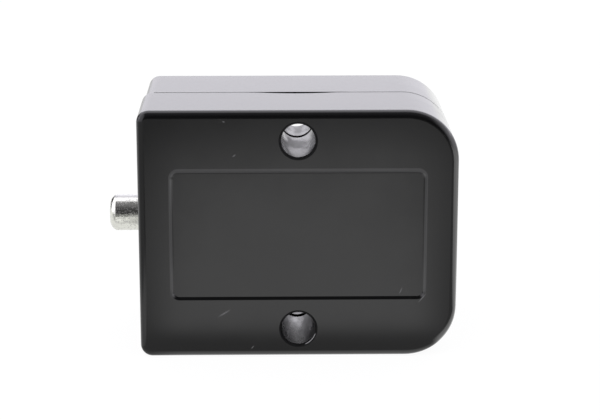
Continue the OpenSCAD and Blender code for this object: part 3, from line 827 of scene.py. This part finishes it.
@dataclass(frozen=True)
class SoftSolid:
    """Plastic, rubber or ink: a plain body colour with patches, fine grain and hairline marks."""

    colour: Triple
    patch_colour: Triple
    roughness: float
    patch_roughness: float = 0.08
    patch_limits: Limits = (0.35, 0.7)
    hair_roughness: float = 0.1
    grain_scale: float = 6000.0
    grain_depth: float = 0.000005

    def build(self, name: str) -> bpy.types.Material:
        """Makes the material.

        Args:
            name: its name.

        Returns:
            The material.
        """
        material, sheet, shader = new_material(name)
        place = sheet.place()
        grain = EFFECTS.use(sheet, EFFECTS.grain, place, Scale=self.grain_scale, Patch_Scale=260.0)
        hair = EFFECTS.use(sheet, EFFECTS.scratches, place, Scale=300.0, Width=0.004, Share=0.2)
        patch = sheet.rise(grain.outputs["Patch"], self.patch_limits)
        sheet.feed(shader, "Base Color", sheet.blend(patch, self.colour, self.patch_colour))
        marks = sheet.product(hair.outputs[0], self.hair_roughness)
        rough = sheet.total(self.roughness, sheet.product(patch, self.patch_roughness), marks)
        sheet.feed(shader, "Roughness", rough)
        add_bump(sheet, shader, grain.outputs["Height"], self.grain_depth)
        return material


@dataclass(frozen=True)
class ClearPlastic:
    """Clear window plastic with faint hairlines."""

    colour: Triple = (0.96, 0.98, 0.98)
    patch_colour: Triple = (0.93, 0.96, 0.96)
    roughness: float = 0.03
    hair_roughness: float = 0.25
    ior: float = 1.5

    def build(self, name: str) -> bpy.types.Material:
        """Makes the material.

        Args:
            name: its name.

        Returns:
            The material.
        """
        material, sheet, shader = new_material(name)
        place = sheet.place()
        hair = EFFECTS.use(sheet, EFFECTS.scratches, place, Scale=160.0, Width=0.003, Share=0.25)
        grain = EFFECTS.use(sheet, EFFECTS.grain, place, Scale=2500.0, Patch_Scale=150.0)
        patched = sheet.blend(grain.outputs["Patch"], self.colour, self.patch_colour)
        sheet.feed(shader, "Base Color", patched)
        rough = sheet.total(self.roughness, sheet.product(hair.outputs[0], self.hair_roughness))
        sheet.feed(shader, "Roughness", rough)
        sheet.feed(shader, "Transmission Weight", 1.0)
        sheet.feed(shader, "IOR", self.ior)
        return material


def mesh_object(name: str, points: np.ndarray, quads: np.ndarray) -> bpy.types.Object:
    """Puts arrays of points and four-sided faces into a new object at the origin.

    Args:
        name: the object's name.
        points: array of shape (n, 3) in metres.
        quads: array of shape (m, 4) of point numbers.

    Returns:
        The linked object.
    """
    mesh = bpy.data.meshes.new(name)
    mesh.from_pydata(points.tolist(), [], quads.tolist())
    mesh.update()
    item = bpy.data.objects.new(name, mesh)
    bpy.context.scene.collection.objects.link(item)
    return item


def tube_faces(rings: int, sides: int) -> np.ndarray:
    """Joins rings of points into the four-sided faces of a tube.

    A face takes two neighbours on one ring, and then the same two on the next ring the other way round.

    Args:
        rings: how many rings there are.
        sides: how many points each ring has.

    Returns:
        Array of shape ((rings - 1) * sides, 4).
    """
    row, col = np.meshgrid(np.arange(rings - 1), np.arange(sides), indexing="ij")
    here, after = row * sides, (col + 1) % sides
    ahead = here + sides
    return np.stack([here + col, here + after, ahead + after, ahead + col], axis=-1).reshape(-1, 4)


class Glyphs:
    """Plain numerals as strokes in a box 0.6 wide and 1 high."""

    middle = (0.3, 0.5)
    arc_step = 18.0
    least_points = 5

    @classmethod
    def arc(cls, cx: float, cy: float, rx: float, ry: float, start: float, end: float) -> np.ndarray:
        """Points on an ellipse: centre plus radii times cosine and sine of an evenly stepped angle.

        Args:
            cx: centre across.
            cy: centre up.
            rx: radius across.
            ry: radius up.
            start: first angle in degrees.
            end: last angle in degrees.

        Returns:
            Array of shape (n, 2).
        """
        count = max(cls.least_points, int(abs(end - start) / cls.arc_step) + 1)
        turn = np.radians(np.linspace(start, end, count))
        return np.stack([cx + rx * np.cos(turn), cy + ry * np.sin(turn)], axis=1)

    @classmethod
    def strokes(cls, digit: int) -> list[np.ndarray]:
        """Gives the centre lines of one numeral.

        Args:
            digit: 0 to 9.

        Returns:
            One array of points for each stroke.
        """
        shapes = {
            0: [cls.arc(0.3, 0.5, 0.24, 0.44, 0, 360)],
            1: [np.array([(0.12, 0.76), (0.34, 0.94), (0.34, 0.06)])],
            2: [np.vstack([cls.arc(0.3, 0.7, 0.23, 0.24, 170, -35), [(0.07, 0.06), (0.54, 0.06)]])],
            3: [cls.arc(0.28, 0.72, 0.22, 0.22, 160, -90), cls.arc(0.28, 0.28, 0.25, 0.22, 90, -160)],
            4: [np.array([(0.42, 0.06), (0.42, 0.94), (0.05, 0.3), (0.56, 0.3)])],
            5: [np.vstack([[(0.5, 0.94), (0.12, 0.94), (0.1, 0.54)],
                           cls.arc(0.28, 0.33, 0.25, 0.27, 130, -150)])],
            6: [cls.arc(0.3, 0.3, 0.24, 0.24, 0, 360), cls.arc(0.5, 0.34, 0.44, 0.6, 180, 100)],
            7: [np.array([(0.06, 0.94), (0.54, 0.94), (0.22, 0.06)])],
            8: [cls.arc(0.3, 0.72, 0.21, 0.22, 0, 360), cls.arc(0.3, 0.28, 0.24, 0.22, 0, 360)],
            9: [cls.arc(0.3, 0.7, 0.24, 0.24, 0, 360), cls.arc(0.1, 0.66, 0.44, 0.6, 0, -80)],
        }
        return shapes[digit]


@dataclass
class NumberRing:
    """The ten printed numbers round one wheel rim."""

    radius: float
    axis_y: float
    centre_z: float
    height: float = 2.35 * MM
    stroke: float = 0.3 * MM
    proud: float = 0.012 * MM
    sink: float = 0.03 * MM
    count: int = 10

    def ribbon(self, line: np.ndarray, digit: int) -> tuple[np.ndarray, np.ndarray]:
        """Carries a flat rectangle along a centre line and wraps it on the rim.

        Each corner is the centre line plus or minus half the stroke width along the line's normal, at the
        rim's radius plus the print's height or minus its depth. Across the wheel goes along Z, and up the
        numeral goes clockwise round the rim.

        Args:
            line: the centre line in glyph units.
            digit: which numeral, for its place round the rim.

        Returns:
            Points of shape (4 n, 3) and faces of shape (m, 4).
        """
        flat = (line - np.array(Glyphs.middle)) * self.height
        tangent = np.gradient(flat, axis=0)
        tangent /= np.linalg.norm(tangent, axis=1, keepdims=True)
        side = np.stack([-tangent[:, 1], tangent[:, 0]], axis=1) * self.stroke / 2
        left, right = flat + side, flat - side
        corners = np.stack([left, right, right, left], axis=1)
        radius = self.radius + np.array([self.proud, self.proud, -self.sink, -self.sink])
        turn = math.pi / 2 - 2 * math.pi * digit / self.count - corners[..., 1] / self.radius
        points = np.stack([
            radius * np.cos(turn),
            self.axis_y + radius * np.sin(turn),
            self.centre_z + corners[..., 0],
        ], axis=-1).reshape(-1, 3)
        first = np.arange(4)
        caps = np.array([first[::-1], first + len(points) - 4])
        return points, np.vstack([tube_faces(len(flat), 4), caps])

    def build(self, name: str) -> bpy.types.Object:
        """Makes all ten numbers as one object.

        Args:
            name: the object's name.

        Returns:
            The object.
        """
        points, faces, start = [], [], 0
        for digit in range(self.count):
            for line in Glyphs.strokes(digit):
                some, quads = self.ribbon(line, digit)
                points.append(some)
                faces.append(quads + start)
                start += len(some)
        return mesh_object(name, np.vstack(points), np.vstack(faces))


def put(names: tuple[str, ...] | list[str], material: bpy.types.Material) -> None:
    """Gives CAD nodes one material.

    Args:
        names: the nodes.
        material: their material.
    """
    for name in names:
        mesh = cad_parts[name].data
        mesh.materials.clear()
        mesh.materials.append(material)
        LOG.info("dressed %s", name)


def brass() -> bpy.types.Material:
    """Gives the turned brass of the bush, washers and pinions, built at its first use."""
    finish = TurnedMetal(colour=(0.72, 0.53, 0.24), dull_colour=(0.45, 0.32, 0.15), roughness=0.25)
    return bpy.data.materials.get("turned_brass") or finish.build("turned_brass")


@dataclass
class Housing:
    """Rear and front covers and the window lens."""

    front_ior: float = 1.55
    nicks: tuple[Nick, ...] = (
        Nick(-14.8, -16.0, 3.4, 32.0, 0.26),
        Nick(-12.6, 16.4, 1.1, 40.0),
        Nick(20.5, -11.55, 1.8, 68.0),
        Nick(-9.2, -23.2, 1.1, 50.0),
        Nick(-14.6, 23.2, 0.7, -15.0),
        Nick(24.8, -13.0, 2.9, 50.0),
    )

    def dress(self) -> None:
        """Puts the finishes on both covers and the lens."""
        put(("rear_cover",), MouldedPlastic(nicks=self.nicks).build("rear_moulding"))
        put(("front_cover",), MouldedPlastic(ior=self.front_ior).build("front_moulding"))
        put(("window_lens",), ClearPlastic().build("clear_window"))


@dataclass
class ReturnSpring:
    """Coil between the plunger's shoulder and the rib; on the real counter it shortens as the plunger goes
    in.
    """

    turns: float = 6.5
    wire: float = 0.6 * MM
    closed_share: float = 0.396
    steps: int = 32
    sides: int = 12

    def surface(self) -> tuple[np.ndarray, np.ndarray]:
        """Sweeps a round wire along a coil with close end turns.

        The angle round the coil is a full circle times the turn count so far. The place along X rises by one
        wire diameter over the first turn and over the last, and evenly between them. The distance from the
        axis is the coil's radius plus the wire's radius times the cosine of the angle round the wire, and the
        wire's radius times the sine of that angle is added along X.

        Returns:
            Points of shape (n, 3) and faces of shape (m, 4).
        """
        low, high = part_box("return_spring")
        half = self.wire / 2
        length = high.x - low.x - self.wire
        turn = np.linspace(0.0, self.turns, int(self.steps * self.turns) + 1)[:, None]
        round_wire = np.linspace(0.0, 2 * np.pi, self.sides, endpoint=False)[None, :]
        turns_at = [0.0, 1.0, self.turns - 1, self.turns]
        lift = np.interp(turn, turns_at, [0.0, self.wire, length - self.wire, length])
        away = (high.y - low.y) / 2 - half + half * np.cos(round_wire)
        points = np.stack(np.broadcast_arrays(
            low.x + half + lift + half * np.sin(round_wire),
            (low.y + high.y) / 2 + away * np.sin(2 * np.pi * turn),
            (low.z + high.z) / 2 - away * np.cos(2 * np.pi * turn),
        ), axis=-1).reshape(-1, 3)
        skin = tube_faces(len(turn), self.sides)[:, [0, 3, 2, 1]]
        strip = np.arange(self.sides // 2 - 1)
        cap = np.stack([strip, strip + 1, self.sides - 2 - strip, self.sides - 1 - strip], axis=-1)
        far = cap[:, ::-1] + len(points) - self.sides
        return points, np.vstack([skin, cap, far])

    def build(self, finish: bpy.types.Material) -> bpy.types.Object:
        """Makes the coil in place of the CAD spring.

        Args:
            finish: the wire's material.

        Returns:
            The coil.
        """
        coil = mesh_object("return_spring_coil", *self.surface())
        coil.data.polygons.foreach_set("use_smooth", np.ones(len(coil.data.polygons), dtype=bool))
        coil.data.materials.append(finish)
        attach(coil, "housing")
        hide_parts("return_spring")
        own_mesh(coil)
        LOG.info("wound %s", coil.name)
        return coil


@dataclass
class PlungerUnit:
    """Plunger, bush, seal and return spring."""

    steel: TurnedMetal = TurnedMetal(
        roughness=0.06,
        ring_depth=0.0000034,
        pit_scale=2400.0,
        pit_share=0.44,
        pit_roughness=0.4,
        # painted shade along the plunger's top
        top_shade_z=3.42 * MM,
    )
    wire: TurnedMetal = TurnedMetal(colour=(0.5, 0.5, 0.52), dull_colour=(0.3, 0.3, 0.32), roughness=0.3)
    rubber: SoftSolid = SoftSolid((0.02, 0.02, 0.02), (0.03, 0.03, 0.03), roughness=0.7)

    def dress(self) -> None:
        """Puts the finishes on the plunger and what guides it, and winds its spring."""
        put(("plunger",), self.steel.build("plunger_steel"))
        put(("plunger_bush",), brass())
        put(("plunger_seal",), self.rubber.build("seal_rubber"))
        spring_wire = self.wire.build("spring_wire")
        put(("return_spring", "drive_pawl_spring", "check_pawl_spring"), spring_wire)
        ReturnSpring().build(spring_wire)


@dataclass
class CountingTrain:
    """Number wheels, pinions, rocker, pawls and the frame that carries them."""

    gear_width: float = 0.55 * MM
    rim_width: float = 1.75 * MM
    wheel: SoftSolid = SoftSolid((0.022, 0.022, 0.023), (0.03, 0.03, 0.03), roughness=0.42)
    ink: SoftSolid = SoftSolid((0.86, 0.86, 0.83), (0.774, 0.774, 0.747), roughness=0.45)
    sheet_metal: TurnedMetal = TurnedMetal(
        colour=(0.62, 0.62, 0.62),
        dull_colour=(0.42, 0.42, 0.43),
        roughness=0.27,
        ring_scale=(600.0, 600.0, 5000.0),
    )
    steel_nodes: tuple[str, ...] = (
        "frame_plate_upper", "frame_plate_lower", "wheel_shaft", "pinion_shaft", "pawl_shaft", "tie_bar",
        "drive_rocker", "drive_pawl", "check_pawl",
    )
    places: tuple[str, ...] = (
        "units", "tens", "hundreds", "thousands", "ten_thousands", "hundred_thousands", "millions",
    )

    def dress(self) -> None:
        """Puts the finishes on the mechanism's CAD nodes."""
        wheels = [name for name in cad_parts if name.startswith("number_wheel")]
        pinions = [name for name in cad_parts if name.startswith("transfer_pinion")]
        put(wheels, self.wheel.build("wheel_moulding"))
        put(self.steel_nodes, self.sheet_metal.build("sheet_steel"))
        put(pinions + ["thrust_washers"], brass())

    def print_numbers(self) -> None:
        """Adds the printed numbers to every wheel and lets them turn with it."""
        ink = self.ink.build("ink_white")
        for number, place in enumerate(self.places, start=1):
            low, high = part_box(f"number_wheel_{number}")
            middle = high.z - self.gear_width - self.rim_width / 2
            ring = NumberRing((high.x - low.x) / 2, (low.y + high.y) / 2, middle)
            item = ring.build(f"wheel_{number}_numbers")
            item.data.materials.append(ink)
            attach(item, f"{place}_wheel")
            LOG.info("printed the numbers of wheel %d", number)


@dataclass(frozen=True)
class MirroredFloor:
    """The floor's level as gloss shows it, zone by zone.

    Limits are where a zone fades in or out along X or Y, and a slant is the share of the other axis that
    leans its edge.
    """

    ahead: float = 1.35
    shadow: float = 0.48
    shadow_front: Limits = (-26 * MM, -8 * MM)
    shadow_back: Limits = (-2.5 * MM, -0.3 * MM)
    flank: float = 0.5
    right_slant: float = 0.09
    right_limits: Limits = (22 * MM, 33 * MM)
    left_slant: float = -0.063
    left_limits: Limits = (-34 * MM, -22 * MM)
    plunger_side: Limits = (1.05, 0.85)
    plunger_side_y: Limits = (-14 * MM, -4 * MM)
    plunger_side_x: Limits = (-38 * MM, -35 * MM)
    far: Limits = (1.2, 0.2)
    far_x: Limits = (-130 * MM, -105 * MM)
    edge_slant: float = 0.3
    edge_limits: Limits = (-222 * MM, -172 * MM)
    edge_shift: float = -115 * MM
    edge_shift_x: Limits = (-36.5 * MM, -34 * MM)
    far_left_x: Limits = (-80 * MM, -60 * MM)
    far_left_y: Limits = (6 * MM, 14 * MM)
    bright: float = 2.4
    bright_slant: float = 0.62
    bright_limits: Limits = (44 * MM, 58 * MM)
    corner_x: Limits = (27 * MM, 32 * MM)
    corner_y: Limits = (-12 * MM, -6 * MM)
    back: Limits = (1.35, 1.4)
    back_y: Limits = (200 * MM, 500 * MM)
    behind_y: Limits = (20 * MM, 60 * MM)
    below: float = 0.9
    below_x: Limits = (-33 * MM, -28 * MM)
    below_near: Limits = (0.0, 6 * MM)
    below_far: Limits = (120 * MM, 200 * MM)
    outline: float = 0.92
    outline_x: Limits = (-75 * MM, -60 * MM)
    outline_y: Limits = (30 * MM, 50 * MM)

    def near(self, sheet: NodeSheet, x: Socket, y: Socket) -> Socket:
        """Works out the level in front: bright ahead, dim close to the object and beside its flanks.

        Past a slanting edge the floor is dark, and that edge is nearer for what the plunger mirrors.

        Args:
            sheet: the floor material's sheet.
            x: the place across.
            y: the place along the depth.

        Returns:
            The level.
        """
        dim = (sheet.rise(y, self.shadow_front), sheet.fall(y, self.shadow_back))
        level = sheet.zone(self.ahead, self.shadow, *dim)
        right = sheet.lean(x, y, self.right_slant)
        level = sheet.span(right, *self.right_limits, level, self.flank)
        left = sheet.lean(x, y, self.left_slant)
        level = sheet.span(left, *self.left_limits, self.flank, level)
        plunger_side = sheet.span(y, *self.plunger_side_y, *self.plunger_side)
        level = sheet.span(left, *self.plunger_side_x, plunger_side, level)
        shift = sheet.span(left, *self.edge_shift_x, self.edge_shift, 0.0)
        edge = sheet.total(sheet.lean(y, x, self.edge_slant), shift)
        return sheet.span(edge, *self.edge_limits, sheet.span(x, *self.far_x, *self.far), level)

    def level(self, sheet: NodeSheet) -> Socket:
        """Works out the level everywhere.

        To the level in front come a dim zone far left, a bright right side with a bright corner by the
        object, the white floor behind, and a level each for what the plunger's underside and its outline
        mirror.

        Args:
            sheet: the floor material's sheet.

        Returns:
            The level.
        """
        x, y, _ = sheet.split(sheet.place())
        level = self.near(sheet, x, y)
        far_left = (sheet.fall(x, self.far_left_x), sheet.fall(y, self.far_left_y))
        level = sheet.zone(level, self.shadow, *far_left)
        right = sheet.lean(x, y, self.bright_slant)
        level = sheet.span(right, *self.bright_limits, level, self.bright)
        level = sheet.zone(level, self.bright, sheet.rise(x, self.corner_x), sheet.rise(y, self.corner_y))
        level = sheet.span(y, *self.behind_y, level, sheet.span(y, *self.back_y, *self.back))
        behind_plunger = (sheet.rise(y, self.below_near), sheet.fall(y, self.below_far))
        level = sheet.zone(level, self.below, sheet.fall(x, self.below_x), *behind_plunger)
        return sheet.zone(level, self.outline, sheet.fall(x, self.outline_x), sheet.rise(y, self.outline_y))


@dataclass(frozen=True)
class MirroredWorld:
    """The surroundings' level as gloss shows it, by the direction's X to the right, Y behind and Z up."""

    back: Limits = (1.4, 1.66)
    back_z: Limits = (0.0, 0.2)
    band: float = 3.2
    band_low: Limits = (0.26, 0.3)
    band_high: Limits = (0.34, 0.38)
    tip: float = 0.04
    tip_x: Limits = (-0.4, -0.3)
    tip_y: Limits = (0.3, 0.5)
    tip_z: Limits = (0.3, 0.5)
    front: Limits = (0.05, 0.22)
    front_y: Limits = (-0.95, -0.3)
    right: float = 2.0
    right_x: Limits = (0.5, 1.0)
    left: float = 1.2
    left_x: Limits = (-0.6, -0.4)
    turn_y: Limits = (-0.06, 0.18)
    turn_high: float = 0.05
    turn_high_z: Limits = (0.0, 0.4)
    turn_left: float = 0.25
    turn_left_x: Limits = (-0.9, -0.5)

    def level(self, sheet: NodeSheet) -> Socket:
        """Works out the level.

        Behind, it rises from the horizon, with a brighter band at one height and a dark patch low on the
        left. In front it is dark, apart from both sides. The turn from front to back comes earlier high up
        and on the left.

        Args:
            sheet: the world's sheet.

        Returns:
            The level.
        """
        x, y, z = sheet.split(sheet.add("ShaderNodeTexCoord").outputs["Generated"])
        behind = sheet.span(z, *self.back_z, *self.back)
        behind = sheet.zone(behind, self.band, sheet.rise(z, self.band_low), sheet.fall(z, self.band_high))
        low_left = (sheet.rise(y, self.tip_y), sheet.fall(z, self.tip_z), sheet.fall(x, self.tip_x))
        behind = sheet.zone(behind, self.tip, *low_left)
        front = sheet.span(y, *self.front_y, *self.front)
        front = sheet.span(x, *self.right_x, front, self.right)
        front = sheet.span(x, *self.left_x, self.left, front)
        high = sheet.span(z, *self.turn_high_z, 0.0, self.turn_high)
        left = sheet.span(x, *self.turn_left_x, self.turn_left, 0.0)
        return sheet.span(sheet.total(y, high, left), *self.turn_y, front, behind)


@dataclass
class Studio:
    """Pale floor, plain soft light and the camera of the photograph."""

    floor_size: float = 6.0
    floor_colour: Triple = (0.9, 0.9, 0.9)
    floor_patch: Triple = (0.891, 0.891, 0.891)
    floor_roughness: float = 0.9
    floor_white: float = 1.05
    camera_white: float = 0.9
    world_white: float = 1.0
    world_level: float = 0.75
    world_tint: Triple = (1.0, 0.985, 1.05)
    lamp_size: float = 0.9
    lamp_radiance: float = 0.9
    key_place: Triple = (-0.6, -0.6, 1.0)
    back_place: Triple = (0.4, 0.8, 0.9)
    focal_px: float = 1934.3
    image_px: float = 600.0
    sensor_mm: float = 36.0
    target: Triple = (0.337 * MM, 0.0, 5.353 * MM)
    distance: float = 382.27 * MM
    azimuth: float = -0.942
    elevation: float = 14.871
    clip_start: float = 0.01

    def build_floor(self) -> None:
        """Makes the floor, white to the camera apart from the object's faint shadow."""
        low = CAD_BOX[0].z
        half = self.floor_size / 2
        corners = np.array([(-half, -half, low), (half, -half, low), (half, half, low), (-half, half, low)])
        floor = mesh_object("floor", corners, np.array([[0, 1, 2, 3]]))
        material, sheet, shader = new_material("pale_floor")
        grain = EFFECTS.use(sheet, EFFECTS.grain, sheet.place(), Scale=60.0, Patch_Scale=4.0)
        patched = sheet.blend(grain.outputs["Patch"], self.floor_colour, self.floor_patch)
        sheet.feed(shader, "Base Color", patched)
        sheet.feed(shader, "Roughness", self.floor_roughness)
        sheet.feed(shader, "Specular IOR Level", 0.0)
        camera, mirrored = sheet.rays()
        glow = sheet.add("ShaderNodeEmission")
        level = sheet.mix(Mix.VALUE, mirrored, self.floor_white, MirroredFloor().level(sheet))
        sheet.feed(glow, "Strength", level)
        seen = sheet.math("MAXIMUM", sheet.product(camera, self.camera_white), mirrored)
        mixed = sheet.add("ShaderNodeMixShader")
        for number, given in enumerate((seen, shader.outputs[0], glow.outputs[0])):
            sheet.feed(mixed, number, given)
        output = next(node for node in sheet.tree.nodes if node.type == "OUTPUT_MATERIAL")
        sheet.feed(output, "Surface", mixed.outputs[0])
        floor.data.materials.append(material)

    def build_world(self) -> None:
        """Makes the surroundings: white to the camera, plain to the object, in zones to its gloss."""
        world = bpy.data.worlds.new("studio")
        bpy.context.scene.world = world
        world.use_nodes = True
        world.node_tree.nodes.clear()
        sheet = NodeSheet(world.node_tree)
        camera, mirrored = sheet.rays()
        level = sheet.mix(Mix.VALUE, mirrored, self.world_level, MirroredWorld().level(sheet))
        background = sheet.add("ShaderNodeBackground")
        sheet.feed(background, "Strength", sheet.mix(Mix.VALUE, camera, level, self.world_white))
        sheet.feed(background, "Color", sheet.blend(camera, self.world_tint, (1.0, 1.0, 1.0)))
        output = sheet.add("ShaderNodeOutputWorld")
        sheet.feed(output, "Surface", background.outputs[0])

    def add_softbox(self, name: str, place: Vector) -> None:
        """Adds a square soft lamp that faces the object and that gloss doesn't show.

        Args:
            name: the lamp's name.
            place: its centre in metres.
        """
        lamp = bpy.data.lights.new(name, "AREA")
        lamp.shape = "SQUARE"
        lamp.size = self.lamp_size
        lamp.energy = self.lamp_radiance * math.pi * self.lamp_size**2
        item = bpy.data.objects.new(name, lamp)
        item.location = place
        item.rotation_mode = "QUATERNION"
        item.rotation_quaternion = (-place).to_track_quat("-Z", "Y")
        item.visible_glossy = False
        item.visible_camera = False
        bpy.context.scene.collection.objects.link(item)

    def build_lamps(self) -> None:
        """Adds a soft key lamp and a soft one behind."""
        self.add_softbox("key_light", Vector(self.key_place))
        self.add_softbox("back_light", Vector(self.back_place))

    def build_camera(self) -> None:
        """Places the camera that was solved from the photograph."""
        azimuth, elevation = math.radians(self.azimuth), math.radians(self.elevation)
        back = Vector((
            math.sin(azimuth) * math.cos(elevation),
            -math.cos(azimuth) * math.cos(elevation),
            math.sin(elevation),
        ))
        data = bpy.data.cameras.new("photo_camera")
        data.sensor_width = self.sensor_mm
        data.lens = self.focal_px / self.image_px * self.sensor_mm
        data.clip_start = self.clip_start
        camera = bpy.data.objects.new("photo_camera", data)
        camera.location = Vector(self.target) + back * self.distance
        camera.rotation_mode = "QUATERNION"
        camera.rotation_quaternion = (-back).to_track_quat("-Z", "Y")
        bpy.context.scene.collection.objects.link(camera)
        bpy.context.scene.camera = camera

    def build(self) -> None:
        """Builds the whole studio."""
        bpy.context.scene.view_settings.view_transform = "Standard"
        self.build_floor()
        self.build_world()
        self.build_lamps()
        self.build_camera()
        LOG.info("built the studio")


def main() -> None:
    """Dresses the counter, prints the wheels and builds the studio."""
    logging.basicConfig(level=logging.INFO, format="%(name)s: %(message)s")
    Housing().dress()
    PlungerUnit().dress()
    train = CountingTrain()
    train.dress()
    train.print_numbers()
    Studio().build()


if __name__ == "__main__":
    main()
